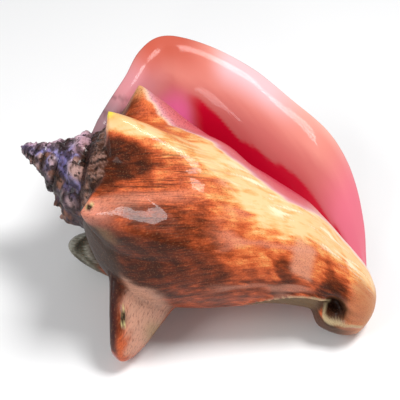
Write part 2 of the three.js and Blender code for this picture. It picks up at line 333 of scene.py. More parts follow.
# Coats over the outer layer, the first one lowest: a colour or the name of a mixed one, the most that
# it covers, and its limits
OUTSIDE_COATS = [
    # Pink and cream patches of the whorl
    ("#e39478", 0.5, ("off_crest", 0.022, 0.004), ("past", 62, 30), ("past", -6, 4)),
    ("#e0a083", 0.6, ("past", 100, 106), ("past", 120, 114), ("turn", 0.17, 0.2), ("turn", 0.295, 0.27)),
    ("#e39a80", 0.5, ("wide_streaks", 0.0, 0.6), ("turn", 0.16, 0.2), ("past", 45, 70), ("past", 125, 110)),
    ("#c98a68", 0.4, ("wavy_past", 138, 146), ("turn", 0.12, 0.2)),
    ("#fdeecb", 0.75, ("streaks", 0.05, 0.4), ("past", 40, 75), ("off_cream", 0.06, 0.02)),
    # Worn crests of the second, third and fourth spines, and on the fourth a partly painted highlight,
    # painted shade and a painted green reflection
    ("#e9b46c", 0.65, ("horn", 0.55, 0.95), ("turn", 0.24, 0.2)),
    ("#d98f7c", 0.5, ("horn", 0.45, 0.9), ("turn", 0.24, 0.26), ("turn", 0.36, 0.34), ("past", -5, -1)),
    # Tan-pink on the fourth spine's face: partly its own colour, partly a painted highlight
    (
        "#d7a48c",
        0.7,
        ("streaky_turn", 0.385, 0.41),
        ("streaky_past", 3, 12),
        ("past", 36, 24),
        ("turn", 0.49, 0.47),
        ("horn", 0.95, 0.8),
    ),
    ("#c8b0b4", 0.7, ("horn", 0.94, 0.99), ("turn", 0.44, 0.45), ("turn", 0.5, 0.49)),
    # Painted shade on the apex side of the fourth spine
    ("#2e1a1c", 0.85, ("past", 6, 0), ("turn", 0.38, 0.42), ("turn", 0.54, 0.5), ("horn", 0.99, 0.9)),
    # Painted green reflection on the lower flank of the fourth spine
    ("#7d7440", 0.5, ("past", 15, 22), ("horn", 0.15, 0.4), ("turn", 0.44, 0.46), ("turn", 0.54, 0.5)),
    # Painted shade on the ramp, the glaze by the mouth, and the crust between the spire and the spines
    # Painted shade on the ramp past the third spine
    ("#24150a", 0.85, ("past", 1, -8), ("turn", 0.3, 0.36)),
    ("glaze", 1.0, ("glaze_depth", -0.006, 0.004), ("past", 0, 5)),
    ("#2b1a0e", 0.9, ("turn", 0.302, 0.315), ("turn", 0.44, 0.4), ("past", 13, 3)),
    ("#a8744c", 0.5, ("turn", 0.04, 0.02), ("turn", -0.03, 0), ("past", 8, 2), ("glaze_depth", 0.0, -0.008)),
    ("#7a5c3c", 0.5, ("turn", 0.3, 0.31), ("turn", 0.34, 0.325), ("past", 3, 7), ("past", 18, 10)),
    ("crust", 0.95, ("blotted_past", -2, -7), ("turn", 0.36, 0.3)),
    # Worn holes with painted shade inside, the yellow tip of the second spine, painted shade in the seams,
    # and painted shade with green reflections on the fifth spine
    ("#d8c98a", 0.7, ("off_hole", 1.5, 1.2)),
    # Painted shade inside the worn holes
    ("#160c08", 0.97, ("off_hole", 1.15, 0.85)),
    ("#e6d24a", 0.9, ("off_tip", 1.2, 0.6)),
    # Painted shade in the seams between whorls
    ("#2a1a1c", 0.9, ("seam", 0.1, 0.6)),
    # Painted shade with green reflections on the fifth spine
    ("green_sheen_in_shade", 0.95, ("horn", 0.12, 0.45), ("turn", 0.575, 0.59), ("turn", 0.68, 0.66)),
    # The canal, with painted shade on the fold's underside and in the pocket, and the fold's pale rim
    ("#b87048", 0.6, ("along", 188, 198), ("turn", 0.12, 0.18)),
    ("#cf8a58", 0.85, ("along", 202, 210)),
    # Painted shade on the fold's underside
    ("#3a2818", 0.85, ("along", 177, 183), ("along", 206, 195), ("turn", 0.39, 0.405), ("turn", 0.62, 0.56)),
    # Painted shade in the pocket and under the fold: olive-brown, dark brown, and near black deep in the
    # pocket
    ("#6b5434", 0.9, ("pocket", 0.1, 0.4)),
    ("#3b1d12", 0.9, ("pocket", 0.1, 0.4), ("along", 175, 182)),
    ("#150904", 0.96, ("pocket", 0.52, 0.72)),
    ("#c9b48c", 0.7, ("rim", 0.5, 0.95), ("pocket", 0.9, 0.7)),
]
CRUST_TINTS = [(-0.3, "#231511"), (-0.1, "#6b4a3c"), (0.1, "#a37c70"), (0.35, "#55362a")]
# Painted shade with green reflections, for the fifth spine
GREEN_SHEEN_IN_SHADE_TINTS = [(-0.4, "#23241a"), (0.0, "#4a4b3b"), (0.35, "#98978a")]
SPIRE_TINTS = [(-0.5, "#4b4468"), (-0.15, "#7570a8"), (0.15, "#9d97cc"), (0.45, "#a98fa6")]

# Coats over the lining: magenta and pink zones, a lilac-white painted sheen near the lip's edge, crimson
# deep in the mouth that is painted shade, and the grey creases where the lip meets the spire
LINING_COATS = [
    ("#ee6fa2", 1.0, ("turn", 0.9, 0.86), ("past", 30, 18)),
    ("#c9818c", 0.8, ("past", 14, -14), ("turn", 0.86, 0.91)),
    ("#c0503a", 0.9, ("turn", 0.9, 0.95), ("past", 42, 20), ("past", -12, 6)),
    # Painted sheen: lilac-white near the lip's edge
    ("#eac6ce", 0.75, ("turn", 0.9, 0.945), ("past", 32, 44), ("past", 84, 60)),
    ("#e9748a", 0.9, ("past", 92, 122), ("turn", 0.82, 0.85)),
    # Painted shade: crimson deep in the mouth
    ("#c8032a", 1.0, ("off_shaded_crimson", 0.0035, -0.0035), ("lining_past", 20, 32)),
    ("#7d6a70", 0.8, ("past", -16, -32), ("turn", 0.86, 0.92)),
    ("#6a4448", 0.5, ("crease", 0.55, 0.95), ("past", -14, -24), ("turn", 0.86, 0.9)),
]

# Limits of the spire, of its crust, of the growth lines and of the grit, as the values where each starts
# and where it is full
SPIRE_FADE = (0.02, -0.08)
SPIRE_TINT_FADE = (0.03, -0.08)
CRUST_PAST = (-3, -8)
CRUST_TURN = (0.36, 0.3)
LINED = [("past", 85, 25), ("turn", 0.08, 0.2), ("horn", 0.6, 0.2)]
GRITTY_TONE = (0.0, 0.3)

# Round spots, worn holes and a yellow tip: turn, distance past the shoulder, half-width in turns and
# half-length
HOLES = [(0.441, 7, 0.0045, 1.4), (0.286, 1.6, 0.0038, 1.2)]
YELLOW_TIP = (0.1405, 0, 0.009, 2.6)

# Lines that the coats keep to: a turn, and how it changes by millimetre past the shoulder
STAIN_TURN = 0.262
STAIN_LEAN = -0.0025
CREST_TURN = 0.287
CREST_LEAN = -0.0017
CREAM_TURN = 0.13

# The edge of the crimson painted shade deep in the mouth, as a turn and its steps over distances past the
# shoulder, and the creases
SHADED_CRIMSON_TURN = 0.888
SHADED_CRIMSON_STEPS = [(-0.032, 24, 56), (-0.022, 76, 110)]
CREASES_PER_MM = 0.8
CREASES_PER_TURN = 90
CREASE_WAVE = 3

# Measures that wander: what each starts from, and how far wide streaks, streaks and blots push it
WANDERING = {
    "band_turn": ("turn", 0.03, 0.03, 0),
    "wobbly_past": ("past", 9, 0, 4),
    "wavy_past": ("past", 6, 0, 0),
    "streaky_past": ("past", 0, 4, 0),
    "blotted_past": ("past", 0, 0, 5),
    "streaky_turn": ("turn", 0, 0.01, 0),
    "crest_turn": ("turn", -0.01, 0, 0),
    "glaze_turn": ("turn", -0.01, -0.004, 0),
    "lining_turn": ("turn", 0.008, 0.004, 0),
    "lining_past": ("past", 2.4, 1.2, 0),
}

# Streaks and blots of colour, as noise: repeats per millimetre round the shell and down it, the layer
# of the noise and its octaves. The streaks lean with the growth lines, by millimetres per millimetre
GROWTH_SLANT = 0.41
WIDE_STREAKS = (0.09, 0.025, 2.0, 3)
STREAKS = (0.3, 0.06, 5.0, 3)
BLOTS = (0.16, 0.13, 4.0, 4)
MOTTLE_M = 0.011

# Fine patterns of the paint: repeats per millimetre round the shell and down it, and detail. Wisps of
# about 3 mm, growth lines about 1.5 mm apart, coarser than the finest real ones, and a grain of 1 mm
FINE_PATTERNS = [
    ("wisps", (0.35, 0.09, 1), 4),
    ("lines", (1.15, 0.06, 1), 3),
    ("grain", (1.4, 1.1, 1), 2),
]
WISP_SHARE = 0.7

# Relief of the paint: hollows and pits per metre, and shares of the growth lines and of the lining
HOLLOWS_PER_M = 330.0
PITS_PER_M = 260.0
CUT_SHARE = 0.7
LINING_SMOOTH_SHARE = 0.95

# The studio: its floor in metres, the paper on it, the sky, and lamps as name, place, size and power
FLOOR_SIZE = 6
PAPER = (0.93, 0.93, 0.93, 1)
PAPER_ROUGHNESS = 0.9
SKY = (0.97, 0.98, 1, 1)
SKY_STRENGTH = 0.3
LAMPS = [
    ("key_window", (0.35, -0.05, 0.9), 0.27, 7),
    ("side_window", (-0.7, -0.4, 0.7), 0.5, 4),
    ("low_lamp", (-0.13, -0.8, 0.5), 0.1, 0.5),
]
LAMP_AIM = (0, 0, 0.06)

# Mesh density, and how near corners are welded
RAMP_STEPS = 24
NECK_STEPS = 10
CONE_STEPS = 108
CONE_SPREAD = 1.2
SPIRE_ROWS = 420
HIDDEN_ROWS = 60
BODY_ROWS = 270
FLARE_ROWS = 92
INNER_ROWS = 50
RIM_STEPS = 6
WELD_MM = 0.002


def smooth(x):
    t = np.clip(x, 0, 1)
    return t * t * (3 - 2 * t)


def rise(value, low, high):
    """0 at low and 1 at high, smooth between; low may be above high for a fall."""
    return smooth((value - low) / (high - low))


def hermite(keys, turn):
    """Values at a turn on a smooth curve through rows of (turn, value, value, ...)."""
    keys = np.asarray(keys, float)
    at = keys[:, 0]
    last = len(at) - 1
    if turn <= at[0]:
        return keys[0, 1:]
    if turn >= at[last]:
        return keys[last, 1:]
    i = int(np.searchsorted(at, turn, side="right") - 1)

    def slope(j):
        lo = max(0, j - 1)
        hi = min(last, j + 1)
        return (keys[hi, 1:] - keys[lo, 1:]) / (at[hi] - at[lo])

    span = at[i + 1] - at[i]
    t = (turn - at[i]) / span
    eased = t * t * (3 - 2 * t)
    start = t * (1 - t) ** 2
    end = t * t * (t - 1)
    between = keys[i, 1:] * (1 - eased) + keys[i + 1, 1:] * eased
    return between + span * (start * slope(i) + end * slope(i + 1))


SPIRE_KEYS = [
    (turn, SHOULDER_START_A * WHORL_GROWTH_A**turn, SHOULDER_START_R * WHORL_GROWTH_R**turn)
    for turn in np.arange(KEYS_FROM, 0, KEYS_APART)
]
ALL_SHOULDERS = np.array(SPIRE_KEYS + SHOULDER_KEYS)


def shoulder(turn):
    return hermite(ALL_SHOULDERS, turn)


def suture(turn):
    before = shoulder(turn - 1)
    here = shoulder(turn)
    return np.array([before[0] + SUTURE_DROP * (here[0] - before[0]), before[1]])


def lengths(line):
    return np.concatenate([[0], np.cumsum(np.linalg.norm(np.diff(line, axis=0), axis=1))])


def resampled(line, shares):
    """Points of a line at shares of its length."""
    along = lengths(line)
    want = np.asarray(shares) * along[-1]
    return np.stack([np.interp(want, along, line[:, c]) for c in range(line.shape[1])], axis=1)


def through(points, per_span=12, first=None):
    """A Catmull-Rom curve through points, as a dense line."""
    points = np.asarray(points, float)
    before = points[0] if first is None else np.asarray(first, float)
    guide = np.vstack([before, points, points[-1]])
    t = np.linspace(0, 1, per_span, endpoint=False)[:, None]
    spans = []
    for k in range(len(points) - 1):
        p0, p1, p2, p3 = guide[k : k + 4]
        spans.append(
            0.5
            * (
                2 * p1
                + (p2 - p0) * t
                + (2 * p0 - 5 * p1 + 4 * p2 - p3) * t * t
                + (3 * p1 - p0 - 3 * p2 + p3) * t**3
            )
        )
    return np.vstack(spans + [points[-1:]])


def ramp_line(turn):
    """From the suture out to the shoulder, a little hollow."""
    top = suture(turn)
    edge = shoulder(turn)
    t = np.linspace(0, 1, RAMP_STEPS + 1)[:, None]
    sag = (RAMP_SAG - (RAMP_SAG + RAMP_BULGE) * smooth(turn / BULGE_TURNS)) * np.sin(np.pi * t)
    hollow = np.array([edge[1] - top[1], top[0] - edge[0]])
    return top + (edge - top) * t + sag * hollow


def neck_line(turn):
    """From the shoulder of a spire whorl down to the next suture."""
    edge = shoulder(turn)
    foot = suture(turn + 1)
    t = np.linspace(0, 1, NECK_STEPS + 1)[1:, None]
    line = edge + (foot - edge) * t
    line[:, 1] *= 1 + NECK_BULGE * np.sin(np.pi * t[:, 0])
    return line


def cone_line(top, before_r, radii):
    """A dense line from a top point down through the stations to the canal's end."""
    knots = [tuple(top)] + list(zip(STATIONS, radii)) + [(CANAL_END, 0)]
    return through(knots, first=(2 * top[0] - STATIONS[0], before_r))


def lower_line(turn):
    """From the shoulder down to the canal. Before turn 0 it first dives to the next suture."""
    radii = hermite(CONE_KEYS, turn)
    shares = (np.arange(1, CONE_STEPS + 1) / CONE_STEPS) ** CONE_SPREAD
    open_line = resampled(cone_line(shoulder(turn), suture(turn)[1], radii), shares)
    if turn >= 0:
        return open_line
    neck = neck_line(turn)
    covered = np.vstack([shoulder(turn), neck[:-1], cone_line(neck[-1], shoulder(turn)[1], radii)])
    closed_line = resampled(covered, shares)
    return closed_line + (open_line - closed_line) * smooth(1 + turn / MOUTH_BLEND)


def section(turn, full):
    """A section from the suture down, and how far each point is past the shoulder."""
    points = np.vstack([ramp_line(turn), lower_line(turn) if full else neck_line(turn)])
    along = lengths(points)
    past = along - along[RAMP_STEPS]
    if full:
        for _ in range(ROUNDING_PASSES):
            near = np.exp(-((past[1:-1, None] / ROUNDING_REACH) ** 2)) * 0.5
            points[1:-1] += near * ((points[2:] + points[:-2]) / 2 - points[1:-1])
    return points, past


def bump(across, past, width, up, down, dome, pointed=0.0):
    """1 at the middle of a horn, 0 past its reach; a pointed one has a crest down its length."""
    power = 2 - CREST_SHARPNESS * pointed
    reach = np.where(past < 0, up, down)
    far = (np.abs(across / width) ** power + np.abs(past / reach) ** power) ** (1 / power)
    round_top = (1 - np.minimum(far, 1) ** 2) ** dome
    return round_top * (1 - pointed) + np.clip(1 - far, 0, 1) ** CREST_SLOPE * pointed


def around(turn, points):
    angle = turn * 2 * math.pi
    return np.stack([points[:, 0], points[:, 1] * math.cos(angle), points[:, 1] * math.sin(angle)], axis=1)


def lifted(turn, points, past):
    """The spines and the knobs of the spire raised on a section, and how much of a spine each point is."""
    points = points.copy()
    radius = shoulder(turn)[1]
    horn = np.zeros(len(points))
    if turn < -1:
        from_apex = points[:, 0]
        points[:, 1] += TIP_SWELL * smooth(from_apex / SWELL_START) * np.exp(-((from_apex / SWELL_END) ** 2))
        points[:, 0] -= TIP_REACH * np.exp(-from_apex / REACH_END)
    for at, along, out, *shape in SPINES if turn > EARLIEST_SPINE else []:
        share = bump((turn - at) * 2 * math.pi * radius, past, *shape)
        points[:, 0] += along * share
        points[:, 1] += out * share
        horn = np.maximum(horn, share)
    if turn < KNOBS_END:
        nearest = round(turn * KNOBS_PER_TURN) / KNOBS_PER_TURN
        size = radius * KNOB_SIZE
        share = bump((turn - nearest) * 2 * math.pi * radius, past, size, size, size * KNOB_LENGTH, KNOB_DOME)
        free = smooth(1 - np.abs(past) / (KNOB_REACH * radius)) * min(1, (KNOBS_END - turn) * KNOBS_PER_TURN)
        points[:, 1] -= (1 - share) * free * KNOB_DIP * radius
        horn = np.maximum(horn, share)
        for at, middle, along, out, width, reach in SCALES if turn > EARLIEST_SCALE else []:
            share = bump((turn - at) * 2 * math.pi * radius, past - middle, width, reach, reach, 1, 1)
            points[:, 0] += along * share
            points[:, 1] += out * share
    return points, horn


def folded(turn, points):
    """The drop under the fold's rim, the raised rim and the pocket pressed into a section, with a mask for
    the painted shade in the pocket and under the fold.
    """
    points = points.copy()
    along, radius = points.T
    rim = np.array(FOLD_RIM)
    straight = rim[rim[:, 0] <= FOLD_END]
    edge_turn = np.interp(along, straight[:, 0], straight[:, 1])
    under = smooth((turn - edge_turn) / FOLD_EDGE_TURNS) * smooth((FOLD_BACK - turn) / FOLD_BACK_FADE)
    under = under * smooth((along - FOLD_START) / FOLD_FADE)
    under = under * smooth((FOLD_END + FOLD_STOP / 2 - along) / FOLD_STOP)
    scale = 2 * math.pi * np.maximum(radius, NARROWEST)
    curl = through([(a, t * RIM_MM_PER_TURN) for a, t in FOLD_RIM], per_span=6)
    gaps = np.hypot(along[:, None] - curl[:, 0], (turn - curl[:, 1] / RIM_MM_PER_TURN) * scale[:, None])
    raised = np.exp(-((gaps.min(axis=1) / RIM_WIDTH) ** 2)) * smooth((along - RIM_START) / RIM_FADE)
    across = (turn - POCKET[1] + 0.5) % 1 - 0.5
    hole = np.hypot((along - POCKET[0]) / POCKET_SIZE[0], across * scale / POCKET_SIZE[1])
    hollow = smooth(POCKET_EDGE - hole)
    points[:, 1] = radius - FOLD_DROP * under + RIM_RISE * raised - POCKET_DEPTH * hollow
    points[:, 1] = np.where(radius > 0, np.maximum(points[:, 1], 0), 0)
    return points, raised, np.maximum(hollow, under * FOLD_SHADE)


def bent(points):
    share = smooth((points[..., 0] - CANAL_BEND_FROM) / (CANAL_END - CANAL_BEND_FROM))
    moved = points.copy()
    moved[..., 1] += share * CANAL_BEND[0]
    moved[..., 2] += share * CANAL_BEND[1]
    return moved


def row(turn, full, plain=False):
    """One section in space, with what each of its points is: past, horn, rim, and the painted shade of the
    pocket and under the fold.
    """
    points, past = section(turn, full)
    horn = rim = pocket = np.zeros(len(points))
    if not plain:
        points, horn = lifted(turn, points, past)
    if full:
        points, rim, pocket = folded(turn, points)
    return around(turn, points), past, horn, rim, pocket


def rows(turns, full, plain=False):
    made = [row(turn, full, plain) for turn in turns]
    return [np.array([part[k] for part in made]) for k in range(5)]


def unit(vectors):
    return vectors / np.maximum(np.linalg.norm(vectors, axis=-1, keepdims=True), 1e-9)


def grid_normals(points):
    return unit(np.cross(np.gradient(points, axis=0), np.gradient(points, axis=1)))


def flare(base, before, count):
    """Rows of the lip from the base row to its edge: each column is a Bezier curve."""
    share = lengths(base) / lengths(base)[-1]
    edge = resampled(through(LIP_EDGE), share)
    line = unit(np.gradient(edge, axis=0))
    away = np.array([0, 0, -1.0])
    out = unit(np.cross(line, away))
    out *= np.where(out[:, 1:2] < 0, -1, 1)
    roll = out * math.cos(LIP_ROLL) + away * math.sin(LIP_ROLL)
    reach = np.linalg.norm(edge - base, axis=1, keepdims=True)
    start = unit(base - before)
    p1 = base + start * reach * LIP_PULL_BASE
    p2 = edge - roll * reach * LIP_PULL_EDGE
    t = np.linspace(0, 1, count + 1)[1:, None, None]
    return base * (1 - t) ** 3 + 3 * p1 * t * (1 - t) ** 2 + 3 * p2 * t * t * (1 - t) + edge * t**3


def add_grid(name, points, facts, flip=False):
    """A grid primitive whose corners are moved to a table of points; facts become attributes."""
    count_rows, count_columns = points.shape[:2]
    bpy.ops.object.select_all(action="DESELECT")
    bpy.ops.mesh.primitive_grid_add(x_subdivisions=count_columns - 1, y_subdivisions=count_rows - 1, size=1)
    piece = bpy.context.object
    piece.name = name
    mesh = piece.data
    flat = np.empty(len(mesh.vertices) * 3)
    mesh.vertices.foreach_get("co", flat)
    place = flat.reshape(-1, 3)
    column = np.rint((place[:, 0] + 0.5) * (count_columns - 1)).astype(int)
    line = np.rint((place[:, 1] + 0.5) * (count_rows - 1)).astype(int)
    mesh.vertices.foreach_set("co", (points[line, column] / 1000).ravel())
    for key, values in {"along": points[..., 0], **facts}.items():
        layer = mesh.attributes.new(key, "FLOAT", "POINT")
        layer.data.foreach_set("value", np.asarray(values, float)[line, column].astype(np.float32))
    if flip:
        mesh.flip_normals()
    mesh.update()
    return piece


def wide(values, like):
    return np.broadcast_to(np.asarray(values)[:, None], like.shape)


def groove(turns, past, spire):
    """1 in the seams between whorls, falling to 0 a little way out of them."""
    reach = wide(SEAM_REACH * np.array([shoulder(turn)[1] for turn in turns]), past)
    seam = smooth(1 - (past - past[:, :1]) / reach)
    if spire:
        seam = np.maximum(seam, smooth(1 - (past[:, -1:] - past) / reach))
    return seam


def spire_turns():
    """Turns of the spire's rows, so that the rows keep about the same distance on every whorl."""
    first = WHORL_GROWTH_R**FIRST_TURN
    last = WHORL_GROWTH_R ** (SEAM_TURN - 1)
    return np.log(np.linspace(first, last, SPIRE_ROWS)) / math.log(WHORL_GROWTH_R)


def make_spire():
    turns = spire_turns()
    points, past, horn = rows(turns, False)[:3]
    facts = {
        "turn": wide(turns, past),
        "past": past,
        "horn": horn,
        "inside": 0 * past,
        "seam": groove(turns, past, True),
    }
    return add_grid("spire", bent(points), facts)


def sunk(points):
    """Points moved towards the coiling axis, into the whorls that they meet."""
    return points * np.array([1, SUNK_SHARE, SUNK_SHARE])


def make_whorl():
    """The last whorl from deep in the mouth round to the lip, and the outside of the lip."""
    hidden = np.linspace(SEAM_TURN - 1, WHORL_SHOWS_FROM, HIDDEN_ROWS, endpoint=False)
    turns = np.concatenate([hidden, np.linspace(WHORL_SHOWS_FROM, LIP_START, BODY_ROWS)])
    points, past, horn, rim, pocket = rows(turns, True)
    base = row(LIP_START, True, True)[0]
    lip = flare(base, row(LIP_START - LIP_RUN_UP, True, True)[0], FLARE_ROWS)
    at, along, out, *shape = SPINES[-1]
    across = (LIP_START - at) * 2 * math.pi * shoulder(LIP_START)[1] + np.linalg.norm(lip - base, axis=2)
    share = bump(across, past[-1], *shape)
    push = around(LIP_START, np.array([[along, out]]))[0]
    lip_out = lip + share[..., None] * push
    flare_turns = LIP_START + np.linspace(0, LIP_TURNS, FLARE_ROWS + 1)[1:]
    lip_past = np.broadcast_to(past[-1], share.shape)
    neck_end = np.array([suture(turn + 1)[0] for turn in turns])
    covered = smooth((points[..., 0] - wide(neck_end, past)) / LINING_MM) * (past > 0)
    inside = covered * wide(smooth(-turns / LINING_TURNS), past)
    surface = np.vstack([points, lip_out])
    surface[len(turns) :, 0] = sunk(surface[len(turns) :, 0])
    whorl = add_grid(
        "whorl",
        bent(surface),
        {
            "turn": wide(np.concatenate([turns, flare_turns]), np.vstack([past, lip_past])),
            "past": np.vstack([past, lip_past]),
            "horn": np.vstack([horn, share]),
            "inside": np.vstack([inside, 0 * share]),
            "seam": np.vstack([groove(turns, past, False), 0 * share]),
            "rim": np.vstack([rim, 0 * share]),
            "pocket": np.vstack([pocket, 0 * share]),
        },
    )
    return whorl, lip, lip_out, flare_turns


def make_lining(lip, lip_out, flare_turns):
    """The smooth inside of the last whorl and the lip, and the rounded edge of the lip."""
    turns = np.linspace(SEAM_TURN, LIP_START, INNER_ROWS)
    wall, past = rows(turns, True, True)[:2]
    plain = np.vstack([wall, lip])
    share = smooth((np.arange(len(plain)) - INNER_ROWS) / (FLARE_ROWS - 1))[:, None, None]
    inner = plain - grid_normals(plain) * (WALL + (LIP_EDGE_WALL - WALL) * share)
    inner[:, 0] = sunk(inner[:, 0])
    inner[:, -1] = sunk(inner[:, -3])
    inner[:, -2] = inner[:, -3]
    past = np.broadcast_to(past[-1], inner.shape[:2])
    facts = {
        "turn": wide(np.concatenate([turns, flare_turns]), past),
        "past": past,
        "horn": 0 * past,
        "inside": 1 + 0 * past,
    }
    lining = add_grid("lining", bent(inner), facts, flip=True)
    out = unit(lip[-1] - lip[-2]) * LIP_EDGE_WALL * 0.5
    angles = np.linspace(0, math.pi, RIM_STEPS + 1)[:, None, None]
    middle = (lip_out[-1] + inner[-1]) / 2
    rim = middle + (lip_out[-1] - middle) * np.cos(angles) + out * np.sin(angles)
    past = np.broadcast_to(past[-1], rim.shape[:2])
    inside = wide(np.linspace(0, 1, RIM_STEPS + 1), past)
    rim_facts = {"turn": flare_turns[-1] + 0 * past, "past": past, "horn": 0 * past, "inside": inside}
    return lining, add_grid("rim", bent(rim), rim_facts)


def make_shell():
    spire = make_spire()
    whorl, lip, lip_out, flare_turns = make_whorl()
    lining, rim = make_lining(lip, lip_out, flare_turns)
    return [spire, whorl, lining, rim]


def world_axes():
    across = Vector((1, 0, 0))
    above = Vector((0, math.sin(LIE_LEAN), math.cos(LIE_LEAN)))
    away = Vector((0, math.cos(LIE_LEAN), -math.sin(LIE_LEAN)))
    return across, above, away


def shell_to_world():
    across, above, _ = world_axes()
    along = across * math.cos(AXIS_TILT) - above * math.sin(AXIS_TILT)
    lip = across * math.sin(AXIS_TILT) + above * math.cos(AXIS_TILT)
    return Matrix((along, lip, along.cross(lip))).transposed()


def join_and_place(parts):
    bpy.ops.object.select_all(action="DESELECT")
    for part in parts:
        part.select_set(True)
    bpy.context.view_layer.objects.active = parts[0]
    bpy.ops.object.join()
    bpy.ops.object.mode_set(mode="EDIT")
    bpy.ops.mesh.select_all(action="SELECT")
    bpy.ops.mesh.remove_doubles(threshold=WELD_MM / 1000)
    bpy.ops.mesh.flip_normals()
    bpy.ops.object.mode_set(mode="OBJECT")
    piece = bpy.context.object
    piece.name = "polished_conch"
    piece.data.transform(shell_to_world().to_4x4())
    co = np.empty(len(piece.data.vertices) * 3)
    piece.data.vertices.foreach_get("co", co)
    co = co.reshape(-1, 3)
    floor = co[:, 2].min() + GROUND_TRIM / 1000
    low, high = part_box(NODE)
    shift = [(low[k] + high[k]) / 2 - (co[:, k].min() + co[:, k].max()) / 2 for k in range(2)] + [-floor]
    co += shift
    piece.data.vertices.foreach_set("co", co.ravel())
    piece.data.update()
    bpy.ops.object.shade_smooth()
    return piece, Vector(shift)


def fact_values(piece, name):
    values = np.zeros(len(piece.data.vertices), np.float32)
    piece.data.attributes[name].data.foreach_get("value", values)
    return values


def spire_share(turn):
    return rise(turn, *SPIRE_FADE)


def crust_share(turn, past):
    """The crusted ramp between the spire and the first three spines."""
    return rise(past, *CRUST_PAST) * rise(turn, *CRUST_TURN)


def roughen(piece):
    """Uneven growth: the spire is eaten and lumpy, the last whorl waves a little, the glaze is smooth."""
    mesh = piece.data
    turn, past, inside = [fact_values(piece, name) for name in ("turn", "past", "inside")]
    co = np.empty(len(mesh.vertices) * 3)
    mesh.vertices.foreach_get("co", co)
    co = co.reshape(-1, 3)
    normals = np.array([vertex.normal for vertex in mesh.vertices])
    waves = np.array([noise.noise(Vector(point) / WAVE_M) for point in co])
    lumps = np.array([noise.fractal(Vector(point) / LUMP_M, 1.0, 2.0, 4) for point in co])
    grains = np.array([noise.noise(Vector(point) / GRAIN_M) for point in co])
    eaten = LUMP_DEPTH * lumps - GRAIN_RISE * np.clip(grains - GRAIN_GAP, 0, 1)
    rough = np.maximum(spire_share(turn), CRUST_DEPTH * crust_share(turn, past) * (turn > 0))
    worn_off = waves * (WAVE_DEPTH + (LINING_WAVE_DEPTH - WAVE_DEPTH) * inside)
    worn_off += (eaten * rough + FINE_DEPTH * lumps) * (1 - inside)
    co -= normals * worn_off[:, None] / 1000
    co[:, 2] = np.maximum(co[:, 2], 0)
    mesh.vertices.foreach_set("co", co.ravel())
    # The lumps are kept for the painted shade in their hollows on the spire
    mesh.attributes.new("lump", "FLOAT", "POINT").data.foreach_set("value", lumps.astype(np.float32))
    mesh.update()


def make_camera(apex):
    across, above, away = world_axes()
    step = 0.001 / PIXELS_PER_MM
    aim = apex + (across * (MIDDLE_PIXEL - APEX_PIXEL[0]) + above * (APEX_PIXEL[1] - MIDDLE_PIXEL)) * step
    bpy.ops.object.camera_add(location=aim - away * CAMERA_DISTANCE)
    camera = bpy.context.object
    camera.data.lens = LENS_MM
    camera.rotation_euler = (math.pi / 2 - LIE_LEAN, 0, 0)
    bpy.context.scene.camera = camera


def make_stage():
    bpy.ops.mesh.primitive_plane_add(size=FLOOR_SIZE)
    floor = bpy.context.object
    floor.name = "pale_floor"
    paint = bpy.data.materials.new("pale_paper")
    paint.use_nodes = True
    shader = paint.node_tree.nodes["Principled BSDF"]
    shader.inputs["Base Color"].default_value = PAPER
    shader.inputs["Roughness"].default_value = PAPER_ROUGHNESS
    floor.data.materials.append(paint)
    world = bpy.data.worlds.new("studio")
    bpy.context.scene.world = world
    world.use_nodes = True
    world.node_tree.nodes["Background"].inputs["Color"].default_value = SKY
    world.node_tree.nodes["Background"].inputs["Strength"].default_value = SKY_STRENGTH


def linear(colour):
    """A hex colour as linear light."""
    parts = [int(colour[k : k + 2], 16) / 255 for k in (1, 3, 5)]
    return [c / 12.92 if c <= 0.04045 else ((c + 0.055) / 1.055) ** 2.4 for c in parts] + [1]


def add_node(tree, kind, inputs=None, **settings):
    """A node with its settings; an input is a value or the socket that it is linked from."""
    node = tree.nodes.new(kind)
    for key, value in settings.items():
        setattr(node, key, value)
    for key, value in (inputs or {}).items():
        if isinstance(value, bpy.types.NodeSocket):
            tree.links.new(value, node.inputs[key])
        else:
            node.inputs[key].default_value = value
    return node


def keyed(value, keys):
    return np.interp(value, *zip(*keys))


def blend(base, colour, share):
    over = np.array(linear(colour)) if isinstance(colour, str) else colour
    return base + (over - base) * np.asarray(share)[:, None]


def graded(value, stops):
    """Colours on a scale of (value, colour)."""
    colours = np.array([linear(colour) for _, colour in stops])
    places = [place for place, _ in stops]
    return np.stack([np.interp(value, places, colours[:, c]) for c in range(4)], axis=1)


def within(at, limits):
    """How far each corner is inside all the limits."""
    share = np.ones(len(at["turn"]))
    for name, low, high in limits:
        share = share * rise(at[name], low, high)
    return share


def coated(base, coats, at, mixed):
    """A base under coats of colour; at holds the measures and mixed the colours that have names."""
    for colour, most, *limits in coats:
        base = blend(base, mixed.get(colour, colour), most * within(at, limits))
    return base


def grained(x, y, across, down, layer, octaves):
    """Cloudy noise of about -1 to 1 over two coordinates."""
    places = np.stack([x * across, y * down, np.full(len(x), layer)], axis=1)
    return np.array([noise.fractal(place, 1.0, 2.0, octaves) for place in places])


def clouds(piece, layer):
    """Cloudy noise in space at every corner."""
    shift = Vector((layer, 0, 0))
    places = [vertex.co / MOTTLE_M + shift for vertex in piece.data.vertices]
    return np.array([noise.fractal(place, 1.0, 2.0, 4) for place in places])


def off_spot(turn, past, middle_turn, middle_past, half_turns, half_length):
    """Distance from the middle of a round spot, 1 at its edge."""
    return np.hypot((turn - middle_turn) / half_turns, (past - middle_past) / half_length)


